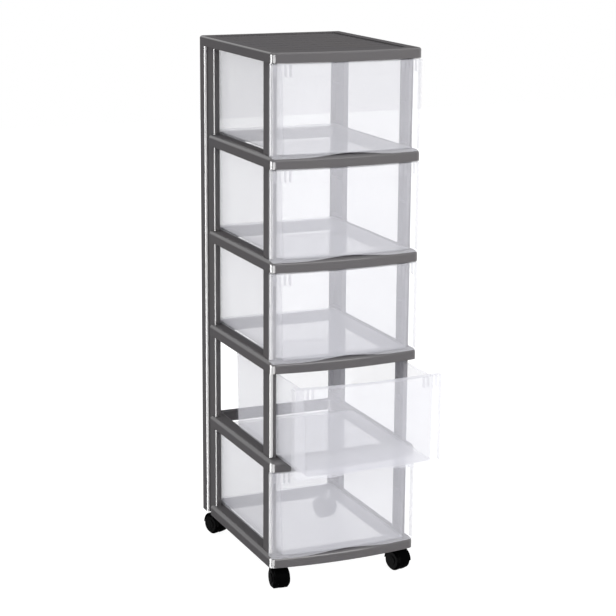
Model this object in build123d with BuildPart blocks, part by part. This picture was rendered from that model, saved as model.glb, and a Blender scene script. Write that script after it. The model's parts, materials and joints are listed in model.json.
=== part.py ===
from build123d import *
import os

# A narrow drawer tower: five clear drawers in a grey frame of shelf frames and corner posts,
# under a ribbed top plate, on four twin-wheel casters.  The second drawer from the floor
# stands pulled out.  Millimetres, +Z up, +Y towards the back, +X to the right as seen from
# the front.  The origin is on the floor under the middle of the whole object's box.

# --- Tower ---
tier_count = 5
open_tier = 2             # counted from the floor
tower_width = 290.0
tower_depth = 360.0       # front corners to the back of the rear columns
front_bow = 13.0          # the front bulges this far at its middle
tier_pitch = 184.0
floor_clearance = 47.0    # underside of the base frame
open_travel = 105.0       # how far the open drawer is pulled out

# --- Shelf frames and base frame ---
frame_height = 21.0
side_rail_width = 27.0
side_rail_gap = 11.0      # a side rail's rounded rear end to the rear column
front_rail_width = 25.0
rear_rail_width = 9.0
rear_rail_inset = 23.0    # rear rail's rear face to the back of the columns
corner_radius = 11.0
rear_end_radius = 10.0
nosing_radius = 9.0
skirt_wall = 4.0
deck_wall = 4.0
inner_wall = 2.5
rib_wall = 2.4
side_rib_count = 2
front_rib_count = 3

# --- Posts ---
post_inset = 6.5          # outer face of a post, inwards from the side rail's face
post_width = 11.0
front_post_setback = 18.0
front_post_depth = 36.0
front_post_radius = 7.5
post_edge_radius = 2.5
rear_post_depth = 32.0    # the inner leg, in front of the column
column_depth = 29.0
column_radius = 5.5
column_taper = 1.4        # each column is this much slimmer at its top
post_wall = 2.5
post_flange = 4.5
post_end_block = 8.0
tenon_width = 5.6
tenon_length = 8.0
tenon_end_margin = 6.0
socket_play = 0.2
column_gap = 0.2

# --- Top plate ---
plate_height = 18.0
plate_rim_width = 22.0
plate_rim_radius = 4.0
panel_recess = 2.5
panel_corner_radius = 4.0
slat_count = 8
slat_groove_width = 3.0
slat_groove_depth = 1.2
plate_skirt_wall = 3.0
plate_deck_wall = 2.5
plate_rib_count = 3       # each way

# --- Drawers ---
drawer_wall = 1.8
drawer_seat_gap = 0.3
skid_height = 2.0
skid_width = 3.0
skid_inset = 0.8          # outwards from the opening between the rails
skid_bite = 1.5           # into the tub's bevelled lower edge
tub_side_gap = 22.0       # tub to the tower's side, at the floor
tub_rear_gap = 29.0       # tub to the back of the columns, at the floor
tub_taper = 1.0           # degrees, widening upwards
tub_corner_radius = 9.0
tub_floor_edge = 3.0
tub_top_gap = 5.0         # from the rim up to the frame above
rim_height = 3.0
rim_proud = 1.1
face_side_gap = 1.0       # drawer face to the tower's side
face_top_gap = 1.5
face_lap = 3.0            # the drawer face hangs this far below the frame's top
face_arch_rise = 6.5
face_arch_inset = 49.0    # ends of the arch to the tower's side
face_corner_radius = 2.8
lip_height = 24.0
lip_proud = 0.8
flange_depth = 13.0
gusset_count = 4
gusset_pitch = 9.0
gusset_wall = 1.2

# --- Casters ---
wheel_radius = 20.0
wheel_width = 11.5
wheel_edge = 4.0
hub_radius = 9.0
hub_proud = 1.2           # the wheel's hub cap stands this far out of its outer face
wheel_gap = 0.5           # wheel to the housing's web
caster_web = 8.6
web_floor_gap = 4.0
caster_trail = 18.0
hood_gap = 1.0
hood_wall = 1.7
hood_edge = 1.2
hood_half_width = 14.0
collar_radius = 10.0
collar_gap = 0.3
stem_radius = 3.0
stem_reach = 16.0         # into the base frame
stem_bite = 9.0           # into the housing
stem_boss_radius = 10.0
stem_head_room = 1.0
running_gap = 0.05
press_gap = 0.02
axle_radius = 2.0
caster_inset = 27.0       # swivel axis to the tower's side
front_caster_setback = 38.0
rear_caster_inset = 40.0  # swivel axis to the back of the columns
caster_headings = {"front_left": 265.0, "front_right": 288.0, "rear_left": 110.0, "rear_right": 110.0}

# --- Derived places ---
half_width = tower_width / 2
front_y = (open_travel + front_bow + lip_proud - tower_depth) / 2   # the front corners
frame_top = floor_clearance + frame_height
post_height = tier_pitch - frame_height
plate_bottom = floor_clearance + tier_count * tier_pitch
opening_half_width = half_width - side_rail_width
rear_rail_back = tower_depth - rear_rail_inset
rear_rail_front = rear_rail_back - rear_rail_width
column_front = tower_depth - column_depth
rear_post_front = column_front - rear_post_depth
side_rail_depth = column_front - side_rail_gap
tub_half_width = half_width - tub_side_gap
tub_back = tower_depth - tub_rear_gap
face_arch_half_width = half_width - face_arch_inset
rear_caster_setback = tower_depth - rear_caster_inset
post_outer_x = half_width - post_inset
post_inner_x = post_outer_x - post_width
post_mid_x = (post_outer_x + post_inner_x) / 2
front_post_mid = front_post_setback + front_post_depth / 2
rear_post_mid = rear_post_front + rear_post_depth / 2
column_width = post_inset + post_width
column_mid_x = half_width - column_width / 2
column_mid = column_front + column_depth / 2
front_tenon_depth = front_post_depth - 2 * tenon_end_margin
rear_tenon_depth = rear_post_depth - 2 * tenon_end_margin
spigot_width = column_width - 2 * post_flange
spigot_depth = column_depth - 2 * tenon_end_margin
socket_depth = tenon_length + socket_play


def row(distance_from_front):
    """The Y of a place given by its distance behind the front corners."""
    return front_y + distance_from_front


def bowed_plan(inset, depth, front_radius=0.0, rear_radius=0.0):
    """A plan view with the bowed front edge, straight sides and rounded corners."""
    side = half_width - inset
    near = row(inset)
    far = row(depth - inset)
    with BuildSketch() as plan:
        with BuildLine():
            ThreePointArc((-side, near), (0, near - front_bow), (side, near))
            Polyline((side, near), (side, far), (-side, far), (-side, near))
        make_face()
        corners = plan.vertices().sort_by(Axis.Y)
        if front_radius > 0:
            fillet(corners[:2], front_radius)
        if rear_radius > 0:
            fillet(plan.vertices().sort_by(Axis.Y)[-2:], rear_radius)
    return plan.sketch


def save(piece, name):
    """Label one finished piece and write it to its own file."""
    piece.label = name
    export_step(piece, f"parts/{name}.step")


def save_copy(piece, name, place):
    """Write a copy of a piece at another place under its own name."""
    with BuildPart() as copy:
        with Locations(place):
            add(piece)
    save(copy.part, name)


def socket_plan():
    """The four sockets that take the posts' tenons, in plan."""
    with BuildSketch() as sockets:
        for side in (-1, 1):
            with Locations((side * post_mid_x, row(front_post_mid))):
                Rectangle(tenon_width + 2 * socket_play, front_tenon_depth + 2 * socket_play)
            with Locations((side * post_mid_x, row(rear_post_mid))):
                Rectangle(tenon_width + 2 * socket_play, rear_tenon_depth + 2 * socket_play)
    return sockets.sketch


def pocket_plan(is_base):
    """The hollows under a frame: the rails' channel, less ribs, post seats and caster bosses."""
    seat_depth = front_post_setback + front_post_depth + inner_wall
    side_channel = rear_post_front - inner_wall - seat_depth
    with BuildSketch() as pockets:
        add(bowed_plan(skirt_wall, side_rail_depth))
        with Locations((0, row(front_rail_width - inner_wall + tower_depth / 2))):
            Rectangle(2 * (opening_half_width + inner_wall), tower_depth, mode=Mode.SUBTRACT)
        for side in (-1, 1):
            seat_x = side * (half_width - side_rail_width / 2)
            with Locations((seat_x, row(seat_depth / 2 - front_bow))):
                Rectangle(side_rail_width, seat_depth + 2 * front_bow, mode=Mode.SUBTRACT)
            with Locations((seat_x, row(rear_post_front - inner_wall + column_front / 2))):
                Rectangle(side_rail_width, column_front, mode=Mode.SUBTRACT)
            with Locations((seat_x, row(seat_depth + side_channel / 2))):
                with GridLocations(1, side_channel / (side_rib_count + 1), 1, side_rib_count):
                    Rectangle(side_rail_width, rib_wall, mode=Mode.SUBTRACT)
        with Locations((0, row(0))):
            with GridLocations(2 * opening_half_width / (front_rib_count + 1), 1, front_rib_count, 1):
                Rectangle(rib_wall, 2 * front_rail_width, mode=Mode.SUBTRACT)
        if is_base:
            with Locations(*caster_places.values()):
                Circle(stem_boss_radius, mode=Mode.SUBTRACT)
    return pockets.sketch


def make_frame(is_base):
    """One open rectangular frame with a bowed, rounded nosing, at the base frame's level."""
    with BuildPart() as frame:
        with BuildSketch(Plane.XY.offset(floor_clearance)):
            add(bowed_plan(0, side_rail_depth, corner_radius, rear_end_radius))
        extrude(amount=frame_height)
        fillet(frame.faces().sort_by(Axis.Z)[-1].edges(), nosing_radius)
        with BuildSketch(Plane.XY.offset(floor_clearance)):
            with Locations((0, row((rear_post_front + column_front - column_gap) / 2))):
                Rectangle(2 * post_outer_x, rear_post_depth - column_gap)
            with Locations((0, row(rear_rail_back - rear_rail_width / 2))):
                Rectangle(2 * (post_inner_x - column_gap), rear_rail_width)
        extrude(amount=frame_height)
        with BuildSketch(Plane.XY.offset(floor_clearance)):
            with Locations((0, row((front_rail_width + rear_rail_front) / 2))):
                RectangleRounded(2 * opening_half_width, rear_rail_front - front_rail_width, nosing_radius)
        extrude(amount=frame_height, mode=Mode.SUBTRACT)
        with BuildSketch(Plane.XY.offset(floor_clearance)):
            add(pocket_plan(is_base))
        extrude(amount=frame_height - deck_wall, mode=Mode.SUBTRACT)
        if is_base:
            with BuildSketch(Plane.XY.offset(floor_clearance)):
                with Locations(*caster_places.values()):
                    Circle(stem_boss_radius)
            extrude(amount=frame_height)
            with BuildSketch(Plane.XY.offset(floor_clearance)):
                with Locations(*caster_places.values()):
                    Circle(stem_radius + running_gap)
            extrude(amount=stem_reach + stem_head_room, mode=Mode.SUBTRACT)
        else:
            with BuildSketch(Plane.XY.offset(floor_clearance)):
                add(socket_plan())
            extrude(amount=socket_depth, mode=Mode.SUBTRACT)
        with BuildSketch(Plane.XY.offset(frame_top)):
            add(socket_plan())
        extrude(amount=-socket_depth, mode=Mode.SUBTRACT)
    return frame.part


def make_front_post():
    """A left front post: a channel that opens to the inside, with a tenon at each end."""
    with BuildPart() as post:
        with BuildSketch(Plane.XY.offset(frame_top)):
            with Locations((-post_mid_x, row(front_post_mid))):
                Rectangle(post_width, front_post_depth)
        extrude(amount=post_height)
        outer_edges = post.edges().filter_by(Axis.Z).sort_by(Axis.X)[:2].sort_by(Axis.Y)
        fillet(outer_edges[0], front_post_radius)
        outer_rear = post.edges().filter_by(Axis.Z).sort_by(Axis.Y)[-2:].sort_by(Axis.X)[0]
        fillet(outer_rear, post_edge_radius)
        cell_height = (post_height - 2 * post_end_block - post_wall) / 2
        with BuildSketch(Plane.YZ.offset(-post_inner_x)):
            with Locations((row(front_post_mid), frame_top + post_height / 2)):
                with GridLocations(1, cell_height + post_wall, 1, 2):
                    Rectangle(front_post_depth - 2 * post_flange, cell_height)
        extrude(amount=-(post_width - post_wall), mode=Mode.SUBTRACT)
        with BuildSketch(Plane.XY.offset(frame_top - tenon_length)):
            with Locations((-post_mid_x, row(front_post_mid))):
                Rectangle(tenon_width, front_tenon_depth)
        extrude(amount=tenon_length)
        with BuildSketch(Plane.XY.offset(frame_top + post_height)):
            with Locations((-post_mid_x, row(front_post_mid))):
                Rectangle(tenon_width, front_tenon_depth)
        extrude(amount=tenon_length)
    return post.part


def make_rear_post(is_lowest):
    """A left rear post: the inner leg between two frames, and the full-height corner column."""
    with BuildPart() as post:
        with BuildSketch(Plane.XY.offset(floor_clearance)):
            with Locations((-column_mid_x, row(column_mid))):
                Rectangle(column_width, column_depth)
        extrude(amount=tier_pitch)
        fillet(post.edges().filter_by(Axis.Z).sort_by(Axis.X)[:2], column_radius)
        top = floor_clearance + tier_pitch
        with BuildSketch(Plane.YZ.offset(-half_width)):
            with BuildLine():
                Polyline(
                    (row(tower_depth), floor_clearance),
                    (row(tower_depth), top),
                    (row(tower_depth) - column_taper, top),
                    close=True,
                )
            make_face()
        extrude(amount=column_width, mode=Mode.SUBTRACT)
        with BuildSketch(Plane.XY.offset(frame_top)):
            with Locations((-post_mid_x, row(rear_post_mid))):
                Rectangle(post_width, rear_post_depth)
        extrude(amount=post_height)
        front_edge = post.edges().filter_by(Axis.Z).sort_by(Axis.Y)[:2].sort_by(Axis.X)[0]
        fillet(front_edge, post_edge_radius)
        cell_height = (post_height - 2 * post_end_block - post_wall) / 2
        cell_depth = tower_depth - rear_post_front - post_flange - 2 * post_wall
        with BuildSketch(Plane.YZ.offset(-post_inner_x)):
            with Locations((row(rear_post_front + post_wall + cell_depth / 2), frame_top + post_height / 2)):
                with GridLocations(1, cell_height + post_wall, 1, 2):
                    Rectangle(cell_depth, cell_height)
        extrude(amount=-(post_width - post_wall), mode=Mode.SUBTRACT)
        for level in (frame_top - tenon_length, frame_top + post_height):
            with BuildSketch(Plane.XY.offset(level)):
                with Locations((-post_mid_x, row(rear_post_mid))):
                    Rectangle(tenon_width, rear_tenon_depth)
            extrude(amount=tenon_length)
        with BuildSketch(Plane.XY.offset(top)):
            with Locations((-column_mid_x, row(column_mid))):
                Rectangle(spigot_width, spigot_depth)
        extrude(amount=tenon_length)
        if not is_lowest:
            with BuildSketch(Plane.XY.offset(floor_clearance)):
                with Locations((-column_mid_x, row(column_mid))):
                    Rectangle(spigot_width + 2 * socket_play, spigot_depth + 2 * socket_play)
            extrude(amount=socket_depth, mode=Mode.SUBTRACT)
    return post.part


def make_top_plate():
    """The top plate: a raised rim round a recessed panel of wide slats, hollow underneath."""
    plate_top = plate_bottom + plate_height
    panel_level = plate_top - panel_recess
    cavity_height = plate_height - panel_recess - slat_groove_depth - plate_deck_wall
    panel_depth = tower_depth - 2 * plate_rim_width
    panel_width = tower_width - 2 * plate_rim_width
    with BuildPart() as plate:
        with BuildSketch(Plane.XY.offset(plate_bottom)):
            add(bowed_plan(0, tower_depth, corner_radius, column_radius))
        extrude(amount=plate_height)
        fillet(plate.faces().sort_by(Axis.Z)[-1].edges(), plate_rim_radius)
        with BuildSketch(Plane.XY.offset(plate_top)):
            add(bowed_plan(plate_rim_width, tower_depth, panel_corner_radius, panel_corner_radius))
        extrude(amount=-panel_recess, mode=Mode.SUBTRACT)
        with BuildSketch(Plane.XY.offset(panel_level)):
            with Locations((0, row(tower_depth / 2))):
                with GridLocations(1, panel_depth / slat_count, 1, slat_count - 1):
                    Rectangle(panel_width - 2 * panel_corner_radius, slat_groove_width)
        extrude(amount=-slat_groove_depth, mode=Mode.SUBTRACT)
        with BuildSketch(Plane.XY.offset(plate_bottom)):
            add(bowed_plan(plate_skirt_wall, tower_depth))
            for side in (-1, 1):
                with Locations((side * column_mid_x, row(column_mid))):
                    Rectangle(2 * column_width, 2 * column_depth, mode=Mode.SUBTRACT)
                with Locations((side * post_mid_x, row(front_post_mid))):
                    Rectangle(column_width + post_inset, front_post_depth + post_width, mode=Mode.SUBTRACT)
                with Locations((side * post_mid_x, row(rear_post_mid))):
                    Rectangle(column_width + post_inset, rear_post_depth + post_width, mode=Mode.SUBTRACT)
            with Locations((0, row(tower_depth / 2))):
                with GridLocations(1, tower_depth / (plate_rib_count + 1), 1, plate_rib_count):
                    Rectangle(tower_width, rib_wall, mode=Mode.SUBTRACT)
                with GridLocations(tower_width / (plate_rib_count + 1), 1, plate_rib_count, 1):
                    Rectangle(rib_wall, 2 * tower_depth, mode=Mode.SUBTRACT)
        extrude(amount=cavity_height, mode=Mode.SUBTRACT)
        with BuildSketch(Plane.XY.offset(plate_bottom)):
            add(socket_plan())
            for side in (-1, 1):
                with Locations((side * column_mid_x, row(column_mid))):
                    Rectangle(spigot_width + 2 * socket_play, spigot_depth + 2 * socket_play)
        extrude(amount=socket_depth, mode=Mode.SUBTRACT)
    return plate.part


def face_plan(setback, depth):
    """A strip of the tower's bowed front, from a setback behind the bow's line, this deep."""
    with BuildSketch() as strip:
        with BuildLine():
            near = ThreePointArc(
                (-half_width, row(setback)), (0, row(setback - front_bow)), (half_width, row(setback))
            )
            far = ThreePointArc(
                (-half_width, row(setback + depth)),
                (0, row(setback + depth - front_bow)),
                (half_width, row(setback + depth)),
            )
            Line(near @ 0, far @ 0)
            Line(near @ 1, far @ 1)
        make_face()
    return strip.sketch


def tub_solid(inset, floor_level, rim_level):
    """A tapered block with rounded corners that reaches out past the bowed face."""
    half = tub_half_width - inset
    reach = front_bow + 2 * tub_corner_radius
    depth = tub_back - inset + reach
    with BuildPart() as block:
        with BuildSketch(Plane.XY.offset(floor_level)):
            with Locations((0, row(tub_back - inset - depth / 2))):
                RectangleRounded(2 * half, depth, tub_corner_radius - inset)
        extrude(amount=rim_level - floor_level, taper=-tub_taper)
        chamfer(block.faces().sort_by(Axis.Z)[0].edges(), tub_floor_edge - inset)
        with BuildSketch(Plane.XY.offset(floor_level)):
            add(face_plan(inset, tower_depth))
        extrude(amount=rim_level - floor_level, mode=Mode.INTERSECT)
    return block.part


def make_drawer():
    """The lowest drawer, closed: a clear tapered tub behind a bowed face with a grip lip."""
    floor_level = frame_top + drawer_seat_gap + skid_height
    ceiling = frame_top + post_height
    rim_level = ceiling - tub_top_gap
    face_bottom = frame_top - face_lap
    face_top = ceiling - face_top_gap
    face_half_width = half_width - face_side_gap
    inner_block = tub_solid(drawer_wall, floor_level + drawer_wall, rim_level + rim_height)
    with BuildPart() as drawer:
        add(tub_solid(0, floor_level, rim_level))
        rim_face = drawer.faces().sort_by(Axis.Z)[-1]
        rim_back = rim_face.bounding_box().max.Y - row(0) + rim_proud
        with BuildSketch(Plane.XY.offset(rim_level - rim_height)):
            with Locations((0, row(0))):
                RectangleRounded(
                    2 * (rim_face.bounding_box().max.X + rim_proud), 2 * rim_back, tub_corner_radius
                )
            add(face_plan(0, tower_depth), mode=Mode.INTERSECT)
        extrude(amount=rim_height)
        add(inner_block, mode=Mode.SUBTRACT)
        # The bowed face, its grip lip, the flange round its back and the gussets behind the lip's
        # ends run past the face's outline, and are trimmed to it together.
        with BuildSketch(Plane.XY.offset(face_bottom - face_lap)):
            add(face_plan(0, drawer_wall))
        extrude(amount=ceiling - face_bottom + face_lap)
        with BuildSketch(Plane.XY.offset(ceiling - lip_height)):
            add(face_plan(-lip_proud, lip_proud))
        extrude(amount=lip_height)
        with BuildSketch(Plane.XY.offset(face_top - drawer_wall)):
            add(face_plan(0, flange_depth))
        extrude(amount=drawer_wall + face_top_gap)
        for side in (-1, 1):
            with BuildSketch(Plane.XY.offset(frame_top + drawer_seat_gap)):
                add(face_plan(0, flange_depth))
                with Locations((side * (face_half_width - drawer_wall + half_width) / 2, row(0))):
                    Rectangle(drawer_wall + face_side_gap, 2 * tower_depth, mode=Mode.INTERSECT)
            extrude(amount=ceiling - frame_top - drawer_seat_gap)
        with BuildSketch(Plane.XY.offset(ceiling - lip_height)):
            gusset_x = [face_half_width - (step + 1) * gusset_pitch for step in range(gusset_count)]
            add(face_plan(0, flange_depth))
            with Locations(*[(side * x, row(0)) for x in gusset_x for side in (-1, 1)]):
                Rectangle(gusset_wall, 2 * tower_depth, mode=Mode.INTERSECT)
        extrude(amount=lip_height)
        with BuildSketch(Plane.XZ.offset(-row(-3 * front_bow))):
            with Locations((0, (face_bottom + face_top) / 2)):
                RectangleRounded(2 * face_half_width, face_top - face_bottom, face_corner_radius)
        extrude(amount=-2 * tower_depth, mode=Mode.INTERSECT)
        # The face's lower edge rises in a low arch over the frame's middle.
        with BuildSketch(Plane.XZ.offset(-row(-3 * front_bow))):
            with BuildLine():
                arch = Spline(
                    (-face_arch_half_width, face_bottom),
                    (0, face_bottom + face_arch_rise),
                    (face_arch_half_width, face_bottom),
                    tangents=[(1, 0), (1, 0), (1, 0)],
                )
                Polyline(
                    arch @ 0,
                    (-face_arch_half_width, face_bottom - face_lap),
                    (face_arch_half_width, face_bottom - face_lap),
                    arch @ 1,
                )
            make_face()
        extrude(amount=-(3 * front_bow + drawer_wall), mode=Mode.SUBTRACT)
        # Two skids under the floor run on the frame's side rails.
        skid_x = opening_half_width + skid_inset + skid_width / 2
        with BuildSketch(Plane.XY.offset(frame_top + drawer_seat_gap)):
            for side in (-1, 1):
                with Locations((side * skid_x, row((front_post_setback + tub_back) / 2))):
                    Rectangle(skid_width, tub_back - front_post_setback - 2 * tub_corner_radius)
        extrude(amount=skid_height + skid_bite)
    return drawer.part


def make_caster_housing():
    """A twin-wheel caster's housing, swivelling about Z and trailing along +X."""
    hood_radius = wheel_radius + hood_gap + hood_wall
    side_plane = Plane(origin=(caster_trail, 0, wheel_radius), x_dir=(1, 0, 0), z_dir=(0, -1, 0))
    with BuildPart() as housing:
        with BuildSketch(side_plane):
            Circle(hood_radius)
            with Locations((0, -hood_radius)):
                Rectangle(3 * hood_radius, 2 * hood_radius, mode=Mode.SUBTRACT)
        extrude(amount=hood_half_width, both=True)
        chamfer(housing.edges().filter_by(GeomType.CIRCLE), hood_edge)
        with BuildSketch(Plane.XY.offset(wheel_radius)):
            Circle(collar_radius)
        extrude(amount=floor_clearance - collar_gap - wheel_radius)
        with BuildSketch(side_plane):
            Circle(wheel_radius + hood_gap)
        extrude(amount=hood_half_width + hood_radius, both=True, mode=Mode.SUBTRACT)
        with BuildSketch(side_plane):
            Circle(wheel_radius + hood_gap)
            with Locations((0, web_floor_gap - wheel_radius - hood_radius)):
                Rectangle(3 * hood_radius, 2 * hood_radius, mode=Mode.SUBTRACT)
        extrude(amount=caster_web / 2, both=True)
        with BuildSketch(side_plane):
            Circle(axle_radius + press_gap)
        extrude(amount=caster_web, both=True, mode=Mode.SUBTRACT)
        with BuildSketch(Plane.XY.offset(floor_clearance - collar_gap)):
            Circle(stem_radius + press_gap)
        extrude(amount=-stem_bite, mode=Mode.SUBTRACT)
    return housing.part


def make_stem():
    """The steel swivel pin, pressed into the housing and free to turn in the base frame."""
    with BuildPart() as stem:
        with BuildSketch(Plane.XY.offset(floor_clearance - collar_gap - stem_bite)):
            Circle(stem_radius)
        extrude(amount=stem_bite + collar_gap + stem_reach)
        chamfer(stem.edges().sort_by(Axis.Z)[-1], stem_radius / 5)
    return stem.part


def make_axle():
    """The steel axle through the housing's web, on which both wheels turn."""
    reach = caster_web / 2 + wheel_gap + wheel_width - wheel_edge
    with BuildPart() as axle:
        with BuildSketch(Plane.XZ):
            with Locations((caster_trail, wheel_radius)):
                Circle(axle_radius)
        extrude(amount=reach, both=True)
    return axle.part


def make_wheel():
    """The wheel on the housing's +Y side: a flat tread, a bevelled edge, a hub cap, a blind bore."""
    inner = caster_web / 2 + wheel_gap
    outer = inner + wheel_width
    bore_end = outer - wheel_edge + wheel_gap
    with BuildPart() as wheel:
        with BuildSketch(Plane.YZ.offset(caster_trail)):
            with BuildLine():
                Polyline(
                    (inner, 0),
                    (outer - wheel_edge, 0),
                    (outer, wheel_edge),
                    (outer, wheel_radius - hub_radius),
                    (outer + hub_proud, wheel_radius - hub_radius),
                    (outer + hub_proud, wheel_radius),
                    (inner, wheel_radius),
                    close=True,
                )
            make_face()
        revolve(axis=Axis((caster_trail, 0, wheel_radius), (0, 1, 0)))
        with BuildSketch(Plane.XZ.offset(-inner)):
            with Locations((caster_trail, wheel_radius)):
                Circle(axle_radius + running_gap)
        extrude(amount=-(bore_end - inner), mode=Mode.SUBTRACT)
    return wheel.part


# --- Build every piece ---
os.makedirs("parts", exist_ok=True)

caster_places = {
    f"{end}_{hand}": (side * (half_width - caster_inset), row(setback))
    for end, setback in (("front", front_caster_setback), ("rear", rear_caster_setback))
    for hand, side in (("left", -1), ("right", 1))
}

save(make_top_plate(), "top_plate")
save(make_frame(is_base=True), "base_frame")

shelf = make_frame(is_base=False)
for tier in range(1, tier_count):
    save_copy(shelf, f"shelf_frame_{tier}", Location((0, 0, tier * tier_pitch)))

front_post = make_front_post()
rear_post = make_rear_post(is_lowest=False)
lowest_rear_post = make_rear_post(is_lowest=True)
drawer = make_drawer()
for tier in range(1, tier_count + 1):
    lift = (tier - 1) * tier_pitch
    rear = lowest_rear_post if tier == 1 else rear_post
    save_copy(front_post, f"front_post_left_{tier}", Location((0, 0, lift)))
    save_copy(front_post.mirror(Plane.YZ), f"front_post_right_{tier}", Location((0, 0, lift)))
    save_copy(rear, f"rear_post_left_{tier}", Location((0, 0, lift)))
    save_copy(rear.mirror(Plane.YZ), f"rear_post_right_{tier}", Location((0, 0, lift)))
    pulled = open_travel if tier == open_tier else 0.0
    save_copy(drawer, f"drawer_{tier}", Location((0, -pulled, lift)))

housing = make_caster_housing()
stem = make_stem()
axle = make_axle()
wheel = make_wheel()
for corner, (caster_x, caster_y) in caster_places.items():
    place = Location((caster_x, caster_y, 0), (0, 0, caster_headings[corner]))
    save_copy(housing, f"caster_housing_{corner}", place)
    save_copy(stem, f"caster_stem_{corner}", place)
    save_copy(axle, f"caster_axle_{corner}", place)
    save_copy(wheel, f"wheel_a_{corner}", place)
    save_copy(wheel.mirror(Plane.XZ), f"wheel_b_{corner}", place)
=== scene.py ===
import json
import math

import bpy
from mathutils import Matrix, Vector

# A drawer tower of clear plastic drawers in a grey frame, on black casters.  Metres and radians,
# +Z up, +Y towards the back, with the origin on the floor under the middle of the tower and its
# open drawer.

# --- Camera: its place, its heading right of +Y, its tilt below the horizon, its roll and lens ---
CAMERA_PLACE = (-1.3407, -3.0454, 1.2947)
CAMERA_HEADING = 0.40877
CAMERA_TILT = 0.23528
CAMERA_ROLL = 0.00631
CAMERA_LENS_MM = 107.588
SENSOR_WIDTH_MM = 36.0

# --- Colours (linear) ---
GREY = (0.113, 0.110, 0.117, 1.0)
GREY_WARM = (0.127, 0.120, 0.120, 1.0)
CLEAR = (0.80, 0.80, 0.86, 1.0)
CLEAR_PALE = (0.85, 0.85, 0.89, 1.0)
BLACK = (0.0012, 0.0012, 0.0014, 1.0)
BLACK_SCUFFED = (0.002, 0.002, 0.002, 1.0)
STEEL = (0.56, 0.56, 0.58, 1.0)
STEEL_DULL = (0.42, 0.42, 0.44, 1.0)
WHITE = (1.0, 1.0, 1.0, 1.0)

# --- Moulded surfaces ---
DRIFT_SCALE = 9.0          # size of the drifts of tone, the uneven gloss and their detail
GLOSS_SCALE = 34.0
DRIFT_DETAIL = 3.0
GRAIN_DETAIL = 2.0
GRAIN_DEPTH = 0.0004       # metres

# --- Frame: its normal's largest component tells a flat face from a rounded corner ---
FLAT_FROM = 0.970          # at this and above, a face is matt
ROUND_UP_TO = 0.90         # at this and below, it is polished
POLISH_ROUGHNESS = 0.12

# --- Casters and drawers ---
CASTER_SHEEN = 0.002
DRAWER_SHEEN = 0.2
DRAWER_IOR = 1.49
WALL_HAZE = 0.23           # share of the light that one upright surface of a drawer stops
FLOOR_HAZE = 0.48          # and one level surface

# --- Stage ---
FLOOR_REACH = 6.0
FLOOR_COLOUR = (0.93, 0.93, 0.94, 1.0)
FLOOR_ROUGHNESS = 0.9
FLOOR_GLOW_NEAR = 0.75     # share of the floor's white that no shadow touches, by the object
FLOOR_GLOW_STRENGTH = 1.25
FLOOR_NEAR = 0.5           # metres from the object's middle
FLOOR_FAR = 1.6
WORLD_LIGHT = 0.8

# --- Where the lamps point ---
TOWER_MIDDLE = (0.0, 0.0, 0.5)
LEFT_POST = (-0.14, -0.1, 0.4)
LEFT_RAIL_ENDS = (-0.14, -0.1, 0.5)


def new_material(name):
    """A node material with only its Principled shader and its output."""
    material = bpy.data.materials.new(name)
    material.use_nodes = True
    return material, material.node_tree.nodes, material.node_tree.links


def noise(nodes, links, scale, detail=DRIFT_DETAIL):
    """A noise texture in the object's own coordinates."""
    place = nodes.new("ShaderNodeTexCoord")
    texture = nodes.new("ShaderNodeTexNoise")
    texture.inputs["Scale"].default_value = scale
    texture.inputs["Detail"].default_value = detail
    links.new(place.outputs["Object"], texture.inputs["Vector"])
    return texture.outputs["Fac"]


def between(nodes, links, fac, low, high):
    """A number that runs from low to high with fac."""
    spread = nodes.new("ShaderNodeMapRange")
    spread.inputs["To Min"].default_value = low
    spread.inputs["To Max"].default_value = high
    links.new(fac, spread.inputs["Value"])
    return spread.outputs["Result"]


def colour_between(nodes, links, fac, first, second):
    """A colour that runs from first to second with fac."""
    mix = nodes.new("ShaderNodeMix")
    mix.data_type = "RGBA"
    mix.inputs["A"].default_value = first
    mix.inputs["B"].default_value = second
    links.new(fac, mix.inputs["Factor"])
    return mix.outputs["Result"]


def bump(nodes, links, height, strength, distance):
    """A bumped normal from a height."""
    relief = nodes.new("ShaderNodeBump")
    relief.inputs["Strength"].default_value = strength
    relief.inputs["Distance"].default_value = distance
    links.new(height, relief.inputs["Height"])
    return relief.outputs["Normal"]


def moulded(name, first, second, smoothest, roughest, grain_scale, grain_strength):
    """A moulded or drawn surface: faint drifts of tone, uneven gloss and a fine grain."""
    material, nodes, links = new_material(name)
    shader = nodes["Principled BSDF"]
    drift = noise(nodes, links, DRIFT_SCALE)
    gloss = noise(nodes, links, GLOSS_SCALE)
    grain = noise(nodes, links, grain_scale, detail=GRAIN_DETAIL)
    links.new(colour_between(nodes, links, drift, first, second), shader.inputs["Base Color"])
    links.new(between(nodes, links, gloss, smoothest, roughest), shader.inputs["Roughness"])
    links.new(bump(nodes, links, grain, grain_strength, GRAIN_DEPTH), shader.inputs["Normal"])
    return material, shader


def roundness(nodes, links):
    """0 on the flat faces and 1 on the rounded corners, by how far the normal is off all axes."""
    place = nodes.new("ShaderNodeTexCoord")
    unsigned = nodes.new("ShaderNodeVectorMath")
    unsigned.operation = "ABSOLUTE"
    split = nodes.new("ShaderNodeSeparateXYZ")
    links.new(place.outputs["Normal"], unsigned.inputs[0])
    links.new(unsigned.outputs["Vector"], split.inputs["Vector"])
    largest = split.outputs["X"]
    for axis in "YZ":
        either = nodes.new("ShaderNodeMath")
        either.operation = "MAXIMUM"
        links.new(largest, either.inputs[0])
        links.new(split.outputs[axis], either.inputs[1])
        largest = either.outputs["Value"]
    turned = nodes.new("ShaderNodeMapRange")
    turned.inputs["From Min"].default_value = FLAT_FROM
    turned.inputs["From Max"].default_value = ROUND_UP_TO
    links.new(largest, turned.inputs["Value"])
    return turned.outputs["Result"]


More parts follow.
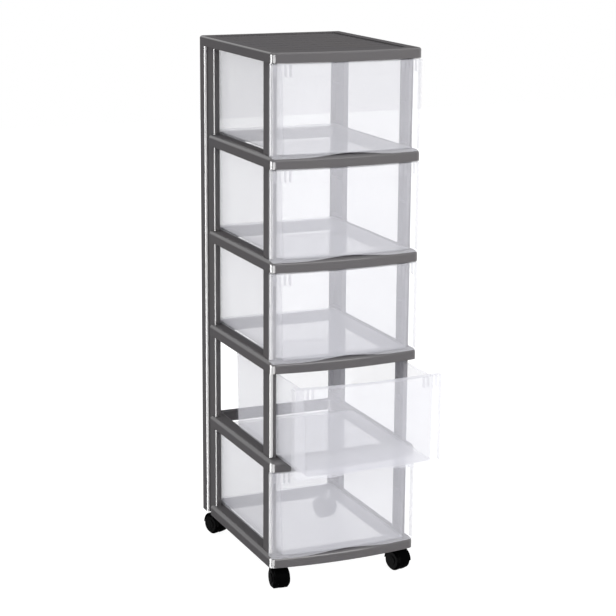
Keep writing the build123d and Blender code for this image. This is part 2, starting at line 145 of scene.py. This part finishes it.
def frame_plastic():
    """Matt grey plastic whose rounded corners come out of the mould polished."""
    material, shader = moulded(
        "frame_plastic", GREY, GREY_WARM,
        smoothest=0.30, roughest=0.42, grain_scale=1400.0, grain_strength=0.10,
    )
    shader.inputs["Specular IOR Level"].default_value = 0.0
    tree = material.node_tree
    tree.links.new(roundness(tree.nodes, tree.links), shader.inputs["Coat Weight"])
    shader.inputs["Coat Roughness"].default_value = POLISH_ROUGHNESS
    return material


def caster_plastic():
    """Black plastic with next to no sheen."""
    material, shader = moulded(
        "caster_plastic", BLACK, BLACK_SCUFFED,
        smoothest=0.14, roughest=0.24, grain_scale=900.0, grain_strength=0.06,
    )
    shader.inputs["Specular IOR Level"].default_value = CASTER_SHEEN
    return material


def clear_plastic():
    """Clear plastic with a faint lilac haze, frosted more densely on its level faces."""
    material, shader = moulded(
        "clear_plastic", CLEAR, CLEAR_PALE,
        smoothest=0.10, roughest=0.20, grain_scale=160.0, grain_strength=0.05,
    )
    nodes = material.node_tree.nodes
    links = material.node_tree.links
    place = nodes.new("ShaderNodeTexCoord")
    facing = nodes.new("ShaderNodeSeparateXYZ")
    links.new(place.outputs["Normal"], facing.inputs["Vector"])
    level = nodes.new("ShaderNodeMath")
    level.operation = "ABSOLUTE"
    links.new(facing.outputs["Z"], level.inputs[0])
    haze = between(nodes, links, level.outputs["Value"], WALL_HAZE, FLOOR_HAZE)
    links.new(haze, shader.inputs["Alpha"])
    shader.inputs["IOR"].default_value = DRAWER_IOR
    shader.inputs["Specular IOR Level"].default_value = DRAWER_SHEEN
    material.surface_render_method = "BLENDED"
    return material


def pin_steel():
    """Plain steel, brushed dull in places."""
    material, shader = moulded(
        "pin_steel", STEEL, STEEL_DULL,
        smoothest=0.25, roughest=0.40, grain_scale=1800.0, grain_strength=0.15,
    )
    shader.inputs["Metallic"].default_value = 1.0
    return material


def dress_nodes(frame):
    """Gives every piece the material of its slot in the record."""
    finishes = {
        "frame_plastic": frame_plastic(),
        "clear_plastic": clear_plastic(),
        "caster_plastic": caster_plastic(),
        "pin_steel": pin_steel(),
    }
    for part in frame["record"]["subparts"]:
        piece = frame["nodes"][part["node"]]
        piece.data.materials.clear()
        piece.data.materials.append(finishes[part["material_slot"]])


def seen_directly(nodes, links):
    """1 for what the camera sees, straight, in a mirror or through clear plastic, and 0 for light."""
    path = nodes.new("ShaderNodeLightPath")
    total = path.outputs["Is Camera Ray"]
    for kind in ("Is Glossy Ray", "Is Transmission Ray"):
        either = nodes.new("ShaderNodeMath")
        either.operation = "MAXIMUM"
        links.new(total, either.inputs[0])
        links.new(path.outputs[kind], either.inputs[1])
        total = either.outputs["Value"]
    return total


def add_floor():
    """A plain white floor that takes a faint shadow by the object and none far off."""
    bpy.ops.mesh.primitive_plane_add(size=2 * FLOOR_REACH, location=(0, 0, 0))
    floor = bpy.context.object
    floor.name = "floor"
    material, nodes, links = new_material("floor_white")
    shader = nodes["Principled BSDF"]
    shader.inputs["Base Color"].default_value = FLOOR_COLOUR
    shader.inputs["Roughness"].default_value = FLOOR_ROUGHNESS
    shader.inputs["Specular IOR Level"].default_value = 0.0
    glow = nodes.new("ShaderNodeEmission")
    glow.inputs["Color"].default_value = WHITE
    glow.inputs["Strength"].default_value = FLOOR_GLOW_STRENGTH
    place = nodes.new("ShaderNodeTexCoord")
    distance = nodes.new("ShaderNodeVectorMath")
    distance.operation = "LENGTH"
    links.new(place.outputs["Object"], distance.inputs[0])
    share = nodes.new("ShaderNodeMapRange")
    share.inputs["From Min"].default_value = FLOOR_NEAR
    share.inputs["From Max"].default_value = FLOOR_FAR
    share.inputs["To Min"].default_value = FLOOR_GLOW_NEAR
    share.inputs["To Max"].default_value = 1.0
    links.new(distance.outputs["Value"], share.inputs["Value"])
    seen_share = nodes.new("ShaderNodeMath")
    seen_share.operation = "MULTIPLY"
    links.new(share.outputs["Result"], seen_share.inputs[0])
    links.new(seen_directly(nodes, links), seen_share.inputs[1])
    mix = nodes.new("ShaderNodeMixShader")
    links.new(seen_share.outputs["Value"], mix.inputs["Fac"])
    links.new(shader.outputs["BSDF"], mix.inputs[1])
    links.new(glow.outputs["Emission"], mix.inputs[2])
    links.new(mix.outputs["Shader"], nodes["Material Output"].inputs["Surface"])
    floor.data.materials.append(material)
    floor.visible_glossy = False
    floor.visible_shadow = False


def add_world():
    """White all round: full white where it is seen, softer as a light."""
    world = bpy.data.worlds.new("studio")
    bpy.context.scene.world = world
    world.use_nodes = True
    nodes = world.node_tree.nodes
    links = world.node_tree.links
    nodes.clear()
    seen = nodes.new("ShaderNodeBackground")
    seen.inputs["Color"].default_value = WHITE
    seen.inputs["Strength"].default_value = 1.0
    lighting = nodes.new("ShaderNodeBackground")
    lighting.inputs["Color"].default_value = WHITE
    lighting.inputs["Strength"].default_value = WORLD_LIGHT
    mix = nodes.new("ShaderNodeMixShader")
    out = nodes.new("ShaderNodeOutputWorld")
    links.new(seen_directly(nodes, links), mix.inputs["Fac"])
    links.new(lighting.outputs["Background"], mix.inputs[1])
    links.new(seen.outputs["Background"], mix.inputs[2])
    links.new(mix.outputs["Shader"], out.inputs["Surface"])


def add_softbox(name, place, target, width, height, power):
    """A rectangular area light, aimed at a target.  Metres and watts."""
    light = bpy.data.lights.new(name, "AREA")
    light.shape = "RECTANGLE"
    light.size = width
    light.size_y = height
    light.energy = power
    lamp = bpy.data.objects.new(name, light)
    bpy.context.scene.collection.objects.link(lamp)
    lamp.location = place
    aim = Vector(target) - Vector(place)
    lamp.rotation_euler = aim.to_track_quat("-Z", "Y").to_euler()
    lamp.visible_camera = False
    return lamp


def add_lights():
    """Soft light from the front and above, and two boxes at the left seen only as glints."""
    add_softbox("key", (0.9, -3.2, 1.8), TOWER_MIDDLE, width=2.0, height=2.0, power=56.0)
    add_softbox("top", (0.2, 0.4, 3.2), TOWER_MIDDLE, width=2.0, height=2.0, power=8.0)
    glints = (
        add_softbox("post_glint", (-1.9, 0.35, 0.05), LEFT_POST, width=1.5, height=2.4, power=270.0),
        add_softbox("rail_glint", (-1.12, -1.33, 0.15), LEFT_RAIL_ENDS, width=1.7, height=1.5, power=100.0),
    )
    for lamp in glints:
        lamp.visible_diffuse = False


def add_camera():
    """The camera at the photo's viewing angle."""
    camera = bpy.data.objects.new("camera", bpy.data.cameras.new("camera"))
    camera.data.sensor_width = SENSOR_WIDTH_MM
    camera.data.lens = CAMERA_LENS_MM
    camera.matrix_world = (
        Matrix.Translation(CAMERA_PLACE)
        @ Matrix.Rotation(-CAMERA_HEADING, 4, "Z")
        @ Matrix.Rotation(math.pi / 2 - CAMERA_TILT, 4, "X")
        @ Matrix.Rotation(CAMERA_ROLL, 4, "Z")
    )
    bpy.context.scene.collection.objects.link(camera)
    bpy.context.scene.camera = camera


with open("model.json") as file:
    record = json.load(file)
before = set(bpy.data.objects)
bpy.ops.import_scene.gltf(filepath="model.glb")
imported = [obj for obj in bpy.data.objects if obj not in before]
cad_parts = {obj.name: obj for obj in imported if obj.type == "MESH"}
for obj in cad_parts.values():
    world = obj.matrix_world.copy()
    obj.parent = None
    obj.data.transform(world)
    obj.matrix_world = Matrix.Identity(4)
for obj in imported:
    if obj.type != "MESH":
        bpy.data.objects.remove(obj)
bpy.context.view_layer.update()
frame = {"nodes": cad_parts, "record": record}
dress_nodes(frame)
add_floor()
add_world()
add_lights()
add_camera()
bpy.context.scene.view_settings.view_transform = "Standard"
